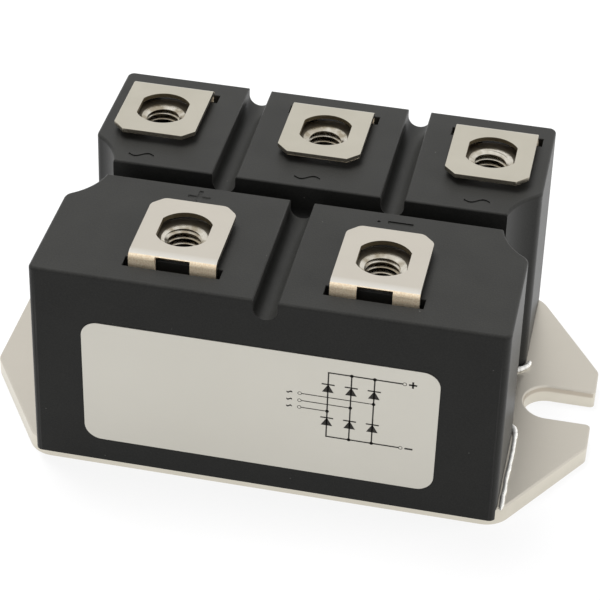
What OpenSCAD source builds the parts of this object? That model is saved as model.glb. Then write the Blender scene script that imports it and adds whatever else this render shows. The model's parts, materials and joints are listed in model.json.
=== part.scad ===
// Three-phase bridge rectifier module: six diode chips on a ceramic substrate,
// soldered to a nickel-plated copper base plate and boxed in by a moulded housing.
// Origin: centre of the base plate's underside. X runs along the module, +Z is up,
// and the label and the two DC terminals face -Y.

/* [Base plate] */
// Length of the plate over both ears
plate_l = 94; // [90:0.5:98]
// Width of the plate
plate_w = 54; // [52:0.5:58]
// Thickness of the plate
plate_t = 3; // [2.5:0.1:4]
// Length of each ear, from the housing's end wall to the plate's end
ear_l = 12; // [11:0.5:13]
// Straight width of the plate's narrow ends
plate_end_w = 18.8; // [16:0.2:21]
// Distance that the plate's straight long edges run on past the housing's end wall
plate_shoulder = 0.6; // [0.2:0.1:1.5]
// Corner radius where the long edges turn into the slanting ones
plate_corner_r = 4.5; // [2:0.5:6]
// Corner radius at the narrow ends
plate_end_r = 1.8; // [0.5:0.1:2.2]
// Diameter of the round mounting hole in the left ear
plate_hole_d = 6.5; // [6.2:0.1:7]
// Width of the open mounting slot in the right ear
slot_w = 7.8; // [6.5:0.1:8.2]
// Radius of the rounded corners at the slot's mouth
slot_mouth_r = 0.7; // [0.3:0.1:1.2]
// Distance from either end of the plate to the centre of a seated mounting screw
screw_inset = 7; // [6:0.5:7.5]

/* [Housing] */
// Height of the housing's top face above the mounting surface
body_h = 36; // [32:0.5:38]
// Thickness of the side walls
wall = 2.2; // [1.8:0.1:2.6]
// Thickness of the top wall
roof = 2.5; // [2:0.1:3.5]
// Radius of the vertical corners
body_corner_r = 1.1; // [0.8:0.1:2]
// Smallest radius of the corners inside the housing
cavity_corner_r = 0.4; // [0.2:0.1:1]
// Thickness of the skirt that hangs past the plate's long edges
skirt_t = 0.6; // [0.5:0.1:1]
// Gap between the skirt and the plate's long edge
skirt_gap = 0.1; // [0.05:0.05:0.2]
// Distance that the skirt hangs below the plate's upper face
skirt_drop = 1.5; // [0.8:0.1:2]
// Radius of the screw-head recess at each end, about the mounting screw
recess_r = 9.7; // [9:0.1:10.2]
// Radius of the rounded edges where a recess meets the end wall
recess_edge_r = 1.8; // [0.8:0.1:2.2]
// Thickness of the glue line between housing and plate
glue_t = 0.25; // [0.15:0.05:0.4]
// Width of the glue bead squeezed out along the end walls
bead_w = 0.7; // [0.4:0.1:1]
// Height of that bead on the plate
bead_h = 0.7; // [0.5:0.1:1]

/* [Creepage grooves] */
// Width of the long channel between the DC and AC terminal blocks
channel_w = 3.8; // [3:0.1:4.5]
// Depth of the long channel
channel_d = 6; // [4.5:0.5:8]
// Width of the short grooves between neighbouring blocks
groove_w = 3.6; // [3:0.1:4.2]
// Depth of the short grooves
groove_d = 3.2; // [2.5:0.1:4]
// Wall left under a channel or groove
groove_wall = 1.8; // [1.4:0.1:2.4]

/* [Terminals] */
// Width of a terminal strap
strap_w = 13; // [12:0.1:13.4]
// Sheet thickness of a strap
strap_t = 1; // [0.8:0.1:1.2]
// Gap between the housing's top face and a strap
strap_gap = 1; // [0.6:0.1:1.4]
// Distance from a long face of the housing to the screw holes beside it
hole_setback = 12.05; // [11.8:0.05:12.6]
// Distance from an end wall to the outer AC screw holes
hole_end_gap = 8.9; // [8.8:0.1:9.6]
// Distance between the two DC screw holes
dc_pitch = 29.5; // [26:0.5:32]
// Distance from a screw hole to the strap's free end
strap_tip = 7.2; // [6.5:0.1:8]
// Distance from a screw hole to the outside of the strap's bent limb
strap_limb = 7.8; // [7.6:0.1:8.2]
// Outside radius of the strap's bends
bend_r = 1.3; // [1.3:0.1:1.8]
// Size of the corner cuts at the strap's free end
strap_chamfer = 1.8; // [1:0.1:2.4]
// Diameter of the screw hole in a strap
strap_hole_d = 8.6; // [8:0.1:9]
// Width of that hole across its two flats
strap_hole_flat = 7.5; // [7:0.1:8]
// Width of the window in the strap's bent limb
window_w = 5.2; // [4:0.1:6]
// Distance from the strap's top face to the window
window_top = 1.2; // [0.8:0.1:1.6]
// Depth of the window below the housing's top face
window_depth = 2.6; // [1.5:0.1:4]
// Width of the strap's leg inside the housing
leg_w = 6; // [5:0.5:7]
// Length of the soldered foot
foot_l = 5.2; // [4:0.1:5.5]
// Clearance between a strap and the sides of its opening in the housing
opening_side_gap = 0.7; // [0.4:0.1:0.9]
// Clearance on the outer face of the bent limb
opening_outer_gap = 0.5; // [0.3:0.1:0.8]
// Clearance on the inner face of the bent limb
opening_inner_gap = 0.7; // [0.3:0.1:0.8]
// Depth of the collars round the openings, below the roof
collar_d = 5; // [3:0.5:7]
// Wall of those collars
collar_wall = 1.2; // [0.8:0.1:1.6]

/* [Captive nuts] */
// Width across the flats of the M6 nut
nut_af = 10; // [9.6:0.1:10.2]
// Height of the nut
nut_h = 5; // [4:0.1:5.5]
// Core diameter of the nut's thread
nut_bore = 5; // [4.8:0.1:5.2]
// Diameter of the countersinks at both ends of the thread
nut_csk_d = 6.6; // [6.2:0.1:7]
// Depth of each countersink
nut_csk_h = 0.6; // [0.4:0.1:0.8]
// Distance that the nut stands above the housing's top face
nut_proud = 0.2; // [0:0.05:0.35]
// Clearance between each flat of the nut and its pocket
pocket_gap = 0.1; // [0.05:0.05:0.15]
// Diameter of the well below the nut that takes the screw's end
well_d = 7; // [6.4:0.1:8]
// Depth of that well
well_h = 4; // [2:0.5:6]
// Wall of the boss round a nut pocket
boss_wall = 1.5; // [1:0.1:2]

/* [Substrate and chips] */
// Gap between the substrate and the inside of the screw-head recesses
dcb_end_gap = 0.6; // [0.4:0.1:1.5]
// Distance that the ceramic reaches out past the soldered legs
dcb_side_reach = 0.85; // [0.6:0.05:0.95]
// Thickness of the ceramic
ceramic_t = 0.63; // [0.38:0.01:1]
// Thickness of the copper on either side of the ceramic
foil_t = 0.3; // [0.2:0.05:0.4]
// Bare ceramic margin round the copper
foil_margin = 1; // [0.6:0.1:1.2]
// Gap between neighbouring copper tracks
track_gap = 0.8; // [0.5:0.1:1]
// Width of the minus rail between the plus field and the AC fields
rail_w = 3.6; // [3:0.1:4]
// Width of the column that leads the rail to the minus leg's field
column_w = 3.6; // [3:0.1:4]
// Copper left round a soldered leg or foot
foot_margin = 1.3; // [0.8:0.1:1.6]
// Edge length of a diode chip
chip_s = 7.5; // [6:0.1:7.8]
// Thickness of a diode chip
chip_t = 0.4; // [0.25:0.05:0.5]
// Gap between the two chips of one phase, seen from above
chip_gap = 0.3; // [0.2:0.05:0.5]
// Bare copper between an upper chip and the edge of the plus field
upper_chip_margin = 1.6; // [1:0.1:2.5]
// Bare copper between a lower chip and the front edge of its AC field
lower_chip_margin = 0.5; // [0.3:0.1:1]
// Bare copper between a lower chip and the foot behind it
chip_foot_gap = 1.1; // [0.6:0.1:1.5]
// Width of the copper clips that join the chips to the tracks
clip_w = 4; // [3:0.1:5]
// Sheet thickness of a clip
clip_t = 0.4; // [0.3:0.05:0.5]
// Height of a clip's bridge above the chips
clip_rise = 1.6; // [1:0.1:2.5]
// Length of a clip's soldered pads
clip_pad = 2.4; // [2:0.1:3]
// Bare copper between an upper clip's pad and the front edge of the AC field
clip_margin = 0.4; // [0.2:0.1:0.8]
// Depth of the silicone gel poured over the chips
gel_depth = 9; // [6:0.5:11]

/* [Label] */
// Length of the label on the front face
label_l = 53; // [40:0.5:60]
// Height of the label
label_h = 22; // [16:0.5:23]
// Corner radius of the label
label_r = 2.6; // [1:0.1:4]
// Thickness of the label
label_t = 0.12; // [0.08:0.01:0.2]
// Distance of the label's centre to the left of the housing's centre
label_shift = 0.8; // [0:0.1:2]
// Distance of the label's lower edge above the plate's upper face
label_rise = 2.7; // [1.5:0.1:4]

/* [Hidden] */
$fn = 64;
cut = 0.5;                 // overshoot that carries a cut clear of a face
seam = 0.01;               // overlap of two arcs that meet, so that they cross

// Housing plan
body_l = plate_l - 2 * ear_l;
body_w = plate_w + 2 * (skirt_t + skirt_gap);
screw_x = plate_l / 2 - screw_inset;
body_z = plate_t + glue_t;

// Terminal places: rows at +-hole_y, AC holes at multiples of ac_pitch
hole_y = body_w / 2 - hole_setback;
ac_pitch = body_l / 2 - hole_end_gap;
strap_z = body_h + strap_gap + strap_t;
terminal_holes = [[-dc_pitch / 2, -1], [dc_pitch / 2, -1],
                  [-ac_pitch, 1], [0, 1], [ac_pitch, 1]];

// Nuts and the collars beside them
collar_z = body_h - roof - collar_d;
nut_z = body_h + nut_proud - nut_h;
pocket_af = nut_af + 2 * pocket_gap;
boss_z = nut_z - well_h - boss_wall;

// Three phases, each with its upper and its lower diode
phases = 3;

// Substrate stack
ceramic_z = plate_t + foil_t;
track_z = ceramic_z + ceramic_t;
chip_z = track_z + foil_t;
clip_z = chip_z + chip_t;
dcb_hl = screw_x - recess_r - wall - dcb_end_gap;
dcb_hw = hole_y + strap_limb + dcb_side_reach;
foil_hl = dcb_hl - foil_margin;
foil_hw = dcb_hw - foil_margin;

// Tracks, from the back: three AC fields, the minus rail, the plus field
cell = (2 * foil_hl + track_gap) / phases;
foot_end = hole_y + strap_limb - foot_l;
ac_front = foot_end - chip_foot_gap - chip_s - lower_chip_margin;
rail_front = ac_front - track_gap - rail_w;
plus_back = rail_front - track_gap;
minus_field = [dc_pitch / 2 - leg_w / 2 - foot_margin, foot_margin - foot_end];

// Chips and clips
chip_offset = (chip_s + chip_gap) / 2;
upper_chip_y = plus_back - upper_chip_margin - chip_s / 2;
lower_chip_y = ac_front + lower_chip_margin + chip_s / 2;
upper_pad_y = ac_front + clip_margin + clip_pad / 2;
lower_pad_y = rail_front + rail_w / 2;
outer_leg_x = foil_hl - leg_w / 2 - foot_margin / 2;

// ---------- outlines ----------

// A rectangle centred on the origin with round corners
module round_rect(l, w, r) {
    square([l - 2 * r, w], center = true);
    square([l, w - 2 * r], center = true);
    for (sx = [-1, 1], sy = [-1, 1])
        translate([sx * (l / 2 - r), sy * (w / 2 - r)]) circle(r);
}

// Plan of the housing, grown outwards by g (inwards where g is negative): a rectangle with
// a round recess in each end, and every corner rounded
module body_plan(g) {
    hx = body_l / 2 + g;
    hy = body_w / 2 + g;
    rr = recess_r - g;
    cr = max(body_corner_r + g, cavity_corner_r);
    er = max(recess_edge_r + g, cavity_corner_r);
    reach = rr + er - seam;
    edge = [hx - er, sqrt(pow(reach, 2) - pow(screw_x - hx + er, 2))];
    inside = edge + ([screw_x, 0] - edge) * (er + cut) / reach;
    quarter = [[hx - cr, hy], [hx, hy - cr], [hx, edge.y], edge, inside];
    difference() {
        union() {
            polygon([for (p = quarter) [p.x, -p.y], for (p = backwards(quarter)) p,
                     for (p = quarter) [-p.x, p.y], for (p = backwards(quarter)) -p]);
            for (sx = [-1, 1], sy = [-1, 1]) {
                translate([sx * (hx - cr), sy * (hy - cr)]) circle(cr);
                translate([sx * edge.x, sy * edge.y]) circle(er);
            }
        }
        for (sx = [-1, 1]) translate([sx * screw_x, 0]) circle(rr);
    }
}

function backwards(pts) = [for (i = [len(pts) - 1 : -1 : 0]) pts[i]];

// A convex polygon with a round corner of its own radius at each point
module round_polygon(pts, radii) {
    n = len(pts);
    to_prev = [for (i = [0 : n - 1]) unit(pts[(i + n - 1) % n] - pts[i])];
    to_next = [for (i = [0 : n - 1]) unit(pts[(i + 1) % n] - pts[i])];
    half = [for (i = [0 : n - 1]) acos(to_prev[i] * to_next[i]) / 2];
    run = [for (i = [0 : n - 1]) radii[i] / tan(half[i])];
    polygon([for (i = [0 : n - 1], arm = [to_prev[i], to_next[i]]) pts[i] + arm * run[i]]);
    for (i = [0 : n - 1])
        translate(pts[i] + unit(to_prev[i] + to_next[i]) * radii[i] / sin(half[i]))
            circle(radii[i]);
}

function unit(v) = v / norm(v);

// A rectangle between two corners, given in any order
module span(a, b) {
    translate([min(a.x, b.x), min(a.y, b.y)])
        square([abs(b.x - a.x), abs(b.y - a.y)]);
}

// ---------- base plate ----------

// Plan of the plate: a round hole in the left ear and an open slot in the right one
module plate_outline() {
    hs = body_l / 2 + plate_shoulder;
    hw = plate_w / 2;
    he = plate_end_w / 2;
    hl = plate_l / 2;
    mouth = [hl - slot_mouth_r, slot_w / 2 + slot_mouth_r];
    difference() {
        round_polygon(
            [[hs, -hw], [hl, -he], [hl, he], [hs, hw], [-hs, hw], [-hl, he], [-hl, -he], [-hs, -hw]],
            [for (end = [1, 2], r = [plate_corner_r, plate_end_r, plate_end_r, plate_corner_r]) r]);
        translate([-screw_x, 0]) circle(plate_hole_d / 2);
        translate([screw_x, 0]) circle(slot_w / 2);
        span([screw_x, -slot_w / 2], [hl + cut, slot_w / 2]);
        span([mouth.x, -mouth.y], [hl + cut, mouth.y]);
    }
    for (sy = [-1, 1]) translate([mouth.x, sy * mouth.y]) circle(slot_mouth_r);
}

// Stamped copper plate, nickel-plated, with a mounting hole and a mounting slot
module base_plate() {
    color([0.78, 0.76, 0.71]) linear_extrude(plate_t) plate_outline();
}

// ---------- housing ----------

// Opening for a strap's bent limb, through the roof, its collar and the side of the nut boss
module strap_opening() {
    inner = strap_limb - strap_t - opening_inner_gap;
    half = strap_w / 2 + opening_side_gap;
    low = min(collar_z, boss_z) - cut;
    translate([-half, inner, low])
        cube([2 * half, strap_limb + opening_outer_gap - inner, body_h - low + cut]);
}

// Collar round that opening, run on into the housing's long wall
module strap_collar() {
    inner = strap_limb - strap_t - opening_inner_gap - collar_wall;
    half = strap_w / 2 + opening_side_gap + collar_wall;
    translate([-half, inner, collar_z]) cube([2 * half, hole_setback - inner, body_h - collar_z]);
}

// Groove of length l along +Y, cut w wide and d deep into the top with a round floor
module groove(w, d, l) {
    translate([0, 0, body_h - d + w / 2]) {
        rotate([-90, 0, 0]) cylinder(d = w, h = l);
        translate([-w / 2, 0, 0]) cube([w, l, d]);
    }
}

// Material kept round a groove on the inside of the roof
module groove_rib(w, d, l) {
    half = w / 2 + groove_wall;
    translate([-half, 0, body_h - d - groove_wall]) cube([2 * half, l, d + groove_wall]);
}

// Places its child at a terminal's screw hole, with +Y pointing to the near long face
module at_terminal(hole) {
    translate([hole.x, hole.y * hole_y, 0]) mirror([0, hole.y < 0 ? 1 : 0, 0]) children();
}

module nut_boss() {
    translate([0, 0, boss_z])
        cylinder(d = pocket_af / cos(30) + 2 * boss_wall, h = body_h - boss_z);
}

module nut_pocket() {
    translate([0, 0, nut_z]) cylinder(d = pocket_af / cos(30), h = nut_h + cut, $fn = 6);
    translate([0, 0, nut_z - well_h]) cylinder(d = well_d, h = well_h + cut);
}

// One groove, or with rib set the material under it
module groove_or_rib(w, d, l, rib) {
    if (rib) groove_rib(w, d, l);
    else groove(w, d, l);
}

// The long channel, the groove between the DC blocks and the two between the AC blocks
module all_grooves(rib) {
    translate([-plate_l / 2, 0, 0]) rotate([0, 0, -90])
        groove_or_rib(channel_w, channel_d, plate_l, rib);
    mirror([0, 1, 0]) groove_or_rib(groove_w, groove_d, body_w, rib);
    for (side = [-1, 1])
        translate([side * ac_pitch / 2, 0, 0]) groove_or_rib(groove_w, groove_d, body_w, rib);
}

// The hollow under the roof, less the ribs, bosses and collars that hang in it
module cavity() {
    difference() {
        translate([0, 0, -cut]) linear_extrude(body_h - roof + cut) body_plan(-wall);
        all_grooves(true);
        for (hole = terminal_holes) at_terminal(hole) {
            nut_boss();
            strap_collar();
        }
    }
}

// Moulded box, open below, with its skirts hanging past the plate's long edges
module housing() {
    color([0.16, 0.16, 0.15])
    difference() {
        translate([0, 0, plate_t - skirt_drop])
            linear_extrude(body_h - plate_t + skirt_drop) body_plan(0);
        cavity();
        translate([-plate_l / 2, -plate_w / 2 - skirt_gap, -cut])
            cube([plate_l, plate_w + 2 * skirt_gap, body_z + cut]);
        all_grooves(false);
        for (hole = terminal_holes) at_terminal(hole) {
            nut_pocket();
            strap_opening();
        }
    }
}

// White silicone glue: the line under the walls and the bead squeezed out at the ends
module glue_bead() {
    color([0.93, 0.93, 0.90])
    intersection() {
        difference() {
            translate([0, 0, plate_t]) linear_extrude(bead_h) body_plan(bead_w);
            translate([0, 0, body_z]) linear_extrude(bead_h) body_plan(0);
            linear_extrude(body_h) body_plan(-wall);
        }
        translate([-plate_l / 2, -plate_w / 2, 0]) cube([plate_l, plate_w, body_h]);
    }
}

// ---------- terminals ----------

module quarter_bend() {
    intersection() {
        difference() {
            circle(bend_r);
            circle(bend_r - strap_t);
        }
        square(bend_r);
    }
}

// Side view of a strap: contact face, bend, limb, bend, soldered foot
module strap_profile() {
    bend_y = strap_limb - bend_r;
    span([-strap_tip, strap_z - strap_t], [bend_y, strap_z]);
    translate([bend_y, strap_z - bend_r]) quarter_bend();
    span([strap_limb - strap_t, chip_z + bend_r], [strap_limb, strap_z - bend_r]);
    translate([bend_y, chip_z + bend_r]) mirror([0, 1]) quarter_bend();
    span([strap_limb - foot_l, chip_z], [bend_y, chip_z + strap_t]);
}

// Sheet strap at the origin of its screw hole; its leg narrows and stands off by leg_x
module strap(leg_x) {
    difference() {
        rotate([90, 0, 90]) translate([0, 0, -strap_w / 2]) linear_extrude(strap_w) strap_profile();
        translate([0, 0, strap_z - strap_t - cut]) intersection() {
            cylinder(d = strap_hole_d, h = strap_t + 2 * cut);
            translate([-strap_hole_flat / 2, -strap_hole_d, 0])
                cube([strap_hole_flat, 2 * strap_hole_d, strap_t + 2 * cut]);
        }
        for (left = [0, 1]) mirror([left, 0, 0])
            translate([strap_w / 2 - strap_chamfer, -strap_tip, strap_z - strap_t - cut])
                rotate([0, 0, -45]) cube([4 * strap_chamfer, 2 * strap_chamfer, strap_t + 2 * cut]);
        translate([-window_w / 2, strap_limb - strap_t - cut, body_h - window_depth])
            cube([window_w, strap_t + 2 * cut, strap_z - window_top - body_h + window_depth]);
        for (edge = [leg_x + leg_w / 2, leg_x - leg_w / 2 - 2 * strap_w])
            translate([edge, 0, 0]) cube([2 * strap_w, 2 * strap_limb, collar_z]);
    }
}

module terminal(hole, leg_x) {
    color([0.80, 0.78, 0.74]) at_terminal(hole) strap(leg_x);
}

module plus_terminal() { terminal(terminal_holes[0], 0); }
module minus_terminal() { terminal(terminal_holes[1], 0); }
module ac_terminal_1() { terminal(terminal_holes[2], ac_pitch - outer_leg_x); }
module ac_terminal_2() { terminal(terminal_holes[3], 0); }
module ac_terminal_3() { terminal(terminal_holes[4], outer_leg_x - ac_pitch); }

// Hexagon nut with both faces chamfered and the thread's core bored through
module nut() {
    corner_r = nut_af / sqrt(3);
    chamfer = corner_r - nut_af / 2;
    rise = chamfer * tan(30);
    intersection() {
        cylinder(r = corner_r, h = nut_h, $fn = 6);
        rotate_extrude() polygon([
            [nut_bore / 2, nut_csk_h], [nut_csk_d / 2, 0], [nut_af / 2, 0], [corner_r, rise],
            [corner_r, nut_h - rise], [nut_af / 2, nut_h], [nut_csk_d / 2, nut_h],
            [nut_bore / 2, nut_h - nut_csk_h]]);
    }
}

// The five identical M6 nuts, loose in their pockets
module terminal_nuts() {
    color([0.72, 0.70, 0.64])
    for (hole = terminal_holes) at_terminal(hole) translate([0, 0, nut_z]) nut();
}

// ---------- label ----------

module label() {
    color([0.79, 0.78, 0.74])
    translate([-label_shift, -body_w / 2, plate_t + label_rise + label_h / 2])
        rotate([90, 0, 0]) linear_extrude(label_t) round_rect(label_l, label_h, label_r);
}

// ---------- substrate ----------

module sheet(hl, hw, z, t) {
    translate([-hl, -hw, z]) cube([2 * hl, 2 * hw, t]);
}

module substrate_back_copper() {
    color([0.80, 0.48, 0.32]) sheet(foil_hl, foil_hw, plate_t, foil_t);
}

module substrate_ceramic() {
    color([0.94, 0.93, 0.90]) sheet(dcb_hl, dcb_hw, ceramic_z, ceramic_t);
}

module track() {
    color([0.80, 0.48, 0.32]) translate([0, 0, track_z]) linear_extrude(foil_t) children();
}

module plus_track() {
    track() difference() {
        span([-foil_hl, -foil_hw], [foil_hl - column_w - track_gap, plus_back]);
        span([minus_field.x - track_gap, -plate_w], [plate_l, minus_field.y + track_gap]);
    }
}

module minus_track() {
    track() {
        span([-foil_hl, rail_front], [foil_hl, rail_front + rail_w]);
        span([foil_hl - column_w, -foil_hw], [foil_hl, rail_front + rail_w]);
        span([minus_field.x, -foil_hw], [foil_hl, minus_field.y]);
    }
}

// AC field of phase i, counted from the left
module ac_track(i) {
    left = -foil_hl + (i - 1) * cell;
    track() span([left, ac_front], [left + cell - track_gap, foil_hw]);
}

module ac_track_1() { ac_track(1); }
module ac_track_2() { ac_track(2); }
module ac_track_3() { ac_track(3); }

// ---------- chips and clips ----------

function phase_x(i) = (i - (phases + 1) / 2) * cell;

module chip(x, y) {
    color([0.25, 0.27, 0.33]) translate([x - chip_s / 2, y - chip_s / 2, chip_z])
        cube([chip_s, chip_s, chip_t]);
}

// Upper diodes sit on the plus field, cathode down; lower ones sit on the AC fields
module upper_diode(i) { chip(phase_x(i) - chip_offset, upper_chip_y); }
module lower_diode(i) { chip(phase_x(i) + chip_offset, lower_chip_y); }

module upper_diode_1() { upper_diode(1); }
module upper_diode_2() { upper_diode(2); }
module upper_diode_3() { upper_diode(3); }
module lower_diode_1() { lower_diode(1); }
module lower_diode_2() { lower_diode(2); }
module lower_diode_3() { lower_diode(3); }

// Copper clip from the top of a chip at chip_y over to a track at track_y
module clip(x, chip_y, track_y) {
    s = sign(track_y - chip_y);
    half = s * clip_pad / 2;
    foot = s * (clip_pad / 2 - clip_t);
    bridge = clip_z + clip_rise;
    color([0.80, 0.48, 0.32])
    rotate([90, 0, 90]) translate([0, 0, x - clip_w / 2]) linear_extrude(clip_w) {
        span([chip_y - half, clip_z], [chip_y + half, clip_z + clip_t]);
        span([chip_y + foot, clip_z], [chip_y + half, bridge + clip_t]);
        span([chip_y + foot, bridge], [track_y - foot, bridge + clip_t]);
        span([track_y - half, chip_z], [track_y - foot, bridge + clip_t]);
        span([track_y - half, chip_z], [track_y + half, chip_z + clip_t]);
    }
}

module upper_clip(i) { clip(phase_x(i) - chip_offset, upper_chip_y, upper_pad_y); }
module lower_clip(i) { clip(phase_x(i) + chip_offset, lower_chip_y, lower_pad_y); }

module upper_clip_1() { upper_clip(1); }
module upper_clip_2() { upper_clip(2); }
module upper_clip_3() { upper_clip(3); }
module lower_clip_1() { lower_clip(1); }
module lower_clip_2() { lower_clip(2); }
module lower_clip_3() { lower_clip(3); }

// ---------- gel ----------

// Soft silicone gel poured round everything on the plate inside the housing
module gel_fill() {
    color([0.85, 0.88, 0.90, 0.5])
    difference() {
        translate([0, 0, plate_t]) linear_extrude(gel_depth) body_plan(-wall);
        substrate_back_copper();
        substrate_ceramic();
        plus_track();
        minus_track();
        for (i = [1 : phases]) {
            ac_track(i);
            upper_diode(i);
            lower_diode(i);
            upper_clip(i);
            lower_clip(i);
        }
        plus_terminal();
        minus_terminal();
        ac_terminal_1();
        ac_terminal_2();
        ac_terminal_3();
    }
}

base_plate();
housing();
glue_bead();
plus_terminal();
minus_terminal();
ac_terminal_1();
ac_terminal_2();
ac_terminal_3();
terminal_nuts();
label();
substrate_back_copper();
substrate_ceramic();
plus_track();
minus_track();
ac_track_1();
ac_track_2();
ac_track_3();
upper_diode_1();
upper_diode_2();
upper_diode_3();
lower_diode_1();
lower_diode_2();
lower_diode_3();
upper_clip_1();
upper_clip_2();
upper_clip_3();
lower_clip_1();
lower_clip_2();
lower_clip_3();
gel_fill();
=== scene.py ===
import json
import math
import random

import bpy
from mathutils import Matrix, Vector


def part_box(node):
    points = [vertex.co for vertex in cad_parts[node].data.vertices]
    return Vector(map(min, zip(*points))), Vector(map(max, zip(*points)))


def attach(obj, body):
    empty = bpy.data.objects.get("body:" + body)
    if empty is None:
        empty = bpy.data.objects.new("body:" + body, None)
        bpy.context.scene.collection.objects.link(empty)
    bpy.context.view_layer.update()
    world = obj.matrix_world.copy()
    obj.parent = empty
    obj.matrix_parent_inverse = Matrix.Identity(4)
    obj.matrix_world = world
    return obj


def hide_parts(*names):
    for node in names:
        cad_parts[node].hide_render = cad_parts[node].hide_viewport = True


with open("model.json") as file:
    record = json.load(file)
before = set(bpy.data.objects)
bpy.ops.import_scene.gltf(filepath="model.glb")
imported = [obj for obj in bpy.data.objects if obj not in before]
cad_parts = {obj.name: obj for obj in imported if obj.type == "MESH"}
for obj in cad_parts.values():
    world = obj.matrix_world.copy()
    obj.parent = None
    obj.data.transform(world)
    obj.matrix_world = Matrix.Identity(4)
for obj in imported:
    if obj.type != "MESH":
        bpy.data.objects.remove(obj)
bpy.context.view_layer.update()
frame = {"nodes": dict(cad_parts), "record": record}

MM = 0.001

# ---------- places taken from the frame ----------

HOUSING_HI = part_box("housing")[1]
PLATE_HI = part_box("base_plate")[1]
LABEL_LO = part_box("label")[0]
NUTS_LO, NUTS_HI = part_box("terminal_nuts")
MOUNTS = {m["name"]: m for m in frame["record"]["mounts"]}
TOP_Z = HOUSING_HI.z
PLATE_Z = PLATE_HI.z
DC_TERMINALS = {"plus_terminal": "plus_thread", "minus_terminal": "minus_thread"}
AC_TERMINALS = {f"ac_terminal_{i}": f"ac_{i}_thread" for i in (1, 2, 3)}
TERMINALS = {**DC_TERMINALS, **AC_TERMINALS}
SCREW_X = MOUNTS["right_slot"]["pos_m"][0]

# ---------- sizes of the finer forms ----------

HAIR = 0.01 * MM             # keeps two cutting faces apart
MERGE = 0.001 * MM           # vertices nearer than this become one
SHARP = math.radians(30)     # an edge that bends by more than this gets rounded

RECESS_R = 9.7 * MM          # screw-head recess in each end of the housing
RECESS_EDGE_R = 1.8 * MM     # rounded edge where a recess meets the end wall
CORNER_R = 1.1 * MM          # vertical corners of the housing
DRAFT = 0.011                # share by which the housing is longer at its foot
RIM_SOFT = 0.5 * MM          # rounding of the housing's top rim
GROOVE_SOFT = 0.3 * MM       # rounding of the edges along channel and grooves
POCKET_SHARE = 0.4           # share of that at the edges of pockets and openings
POCKET_REACH_X = 8 * MM      # reach of those edges from the middle of a screw hole
POCKET_REACH_Y = 9 * MM

MARK_DEPTH = 0.2 * MM        # depth of the moulded polarity marks
MARK_OVER = 1 * MM           # how far their cutters stand out of the top
MARK_HALF = 0.36 * MM        # half the stroke of the plus and the minus
WAVE_STROKE = 0.5 * MM       # stroke of the AC signs

PLATE_SOFT = 0.3 * MM        # rounding of the plate's upper edges
SLOT_HALF = 4.5 * MM         # reach of the slot's walls and mouth either side of its middle

SHEET_SHARE = 0.77           # thickness of the straps' sheet as a share of the solid's
BEND_DROP = 1.3 * MM         # height of the bend below a strap's top face
LIMB_START = 20.5 * MM       # where a strap starts to be drawn in, measured from the middle
LIMB_DRAW = 0.13             # share by which it is drawn in beyond that
TIP_SOFT = 0.5 * MM          # rounding of the corners at a DC strap's free end
SHEET_SOFT = 0.1 * MM        # rounding of a strap's other edges
TIP_REACH = 11.5 * MM        # a free end is nearer than this to the housing's middle
LIMB_RISE = 1.4 * MM         # height above the housing up to which a limb looks stretched
BEND_HIGHLIGHT_START = 21.5 * MM    # where the painted highlight along a DC strap's bend begins, and where it is full, both measured from the housing's middle
BEND_HIGHLIGHT_FULL = 23.2 * MM     # full, both measured from the housing's middle
EDGE_REACH = 7 * MM          # reach of the sheared edges from the middle of the screw hole
HOLE_REACH = 4.5 * MM        # reach of the hole's wall from there
WINDOW_HALF = 2.6 * MM       # half the width of the window in a strap's limb
WINDOW_RISE = 1.35 * MM      # height of its upper edge above the housing
WINDOW_NEAR = 6.7 * MM       # its reach from the middle of the screw hole
WINDOW_FAR = 8.5 * MM

THREAD_PITCH = 1.0 * MM
THREAD_MAJOR_R = 3.05 * MM
THREAD_MINOR_R = 2.5 * MM
THREAD_ROOT_R = 2.35 * MM    # inner edge of the thread's cutter, inside the bore
NUT_FLATS = 10 * MM
SINK_R = 3.5 * MM            # countersink at each end of a nut
SINK_H = 0.35 * MM

BEAD_OUT = 0.92 * MM         # distance of the glue bead from the end wall
BEAD_STEP = 0.5 * MM         # length of its facets
BEAD_R = 0.34 * MM           # its radius, and that in the screw-head recess
BEAD_RECESS_R = 0.40 * MM
BEAD_FRONT_GAP = 0.4 * MM    # distance of its ends from the plate's front and back edges
BEAD_BACK_GAP = 2.6 * MM
LINE_SET_BACK = 0.7 * MM     # distance of the glue line under the walls from their outer faces

FILM_SET_BACK = 0.02 * MM    # distance of the label's film behind the face of the ink


# ---------- helpers for modelling ----------

def only(*pieces):
    """Selects these pieces alone and makes the first one active."""
    if bpy.context.object and bpy.context.object.mode != "OBJECT":
        bpy.ops.object.mode_set(mode="OBJECT")
    bpy.ops.object.select_all(action="DESELECT")
    for piece in pieces:
        piece.select_set(True)
    bpy.context.view_layer.objects.active = pieces[0]


def settle(piece):
    """Puts the piece's place, turn and size into its mesh."""
    only(piece)
    bpy.ops.object.transform_apply(location=True, rotation=True, scale=True)
    return piece


def open_whole(piece):
    """Opens a piece for editing with all of it selected."""
    only(piece)
    bpy.ops.object.mode_set(mode="EDIT")
    bpy.ops.mesh.select_all(action="SELECT")


def close_outward():
    """Turns every face of the piece that is open outwards, and ends its editing."""
    bpy.ops.mesh.select_all(action="SELECT")
    bpy.ops.mesh.normals_make_consistent(inside=False)
    bpy.ops.object.mode_set(mode="OBJECT")


def modify(piece, kind, **settings):
    """Adds a modifier with these settings and applies it."""
    only(piece)
    bpy.ops.object.modifier_add(type=kind)
    modifier = piece.modifiers[-1]
    for key, value in settings.items():
        setattr(modifier, key, value)
    bpy.ops.object.modifier_apply(modifier=modifier.name)


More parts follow.
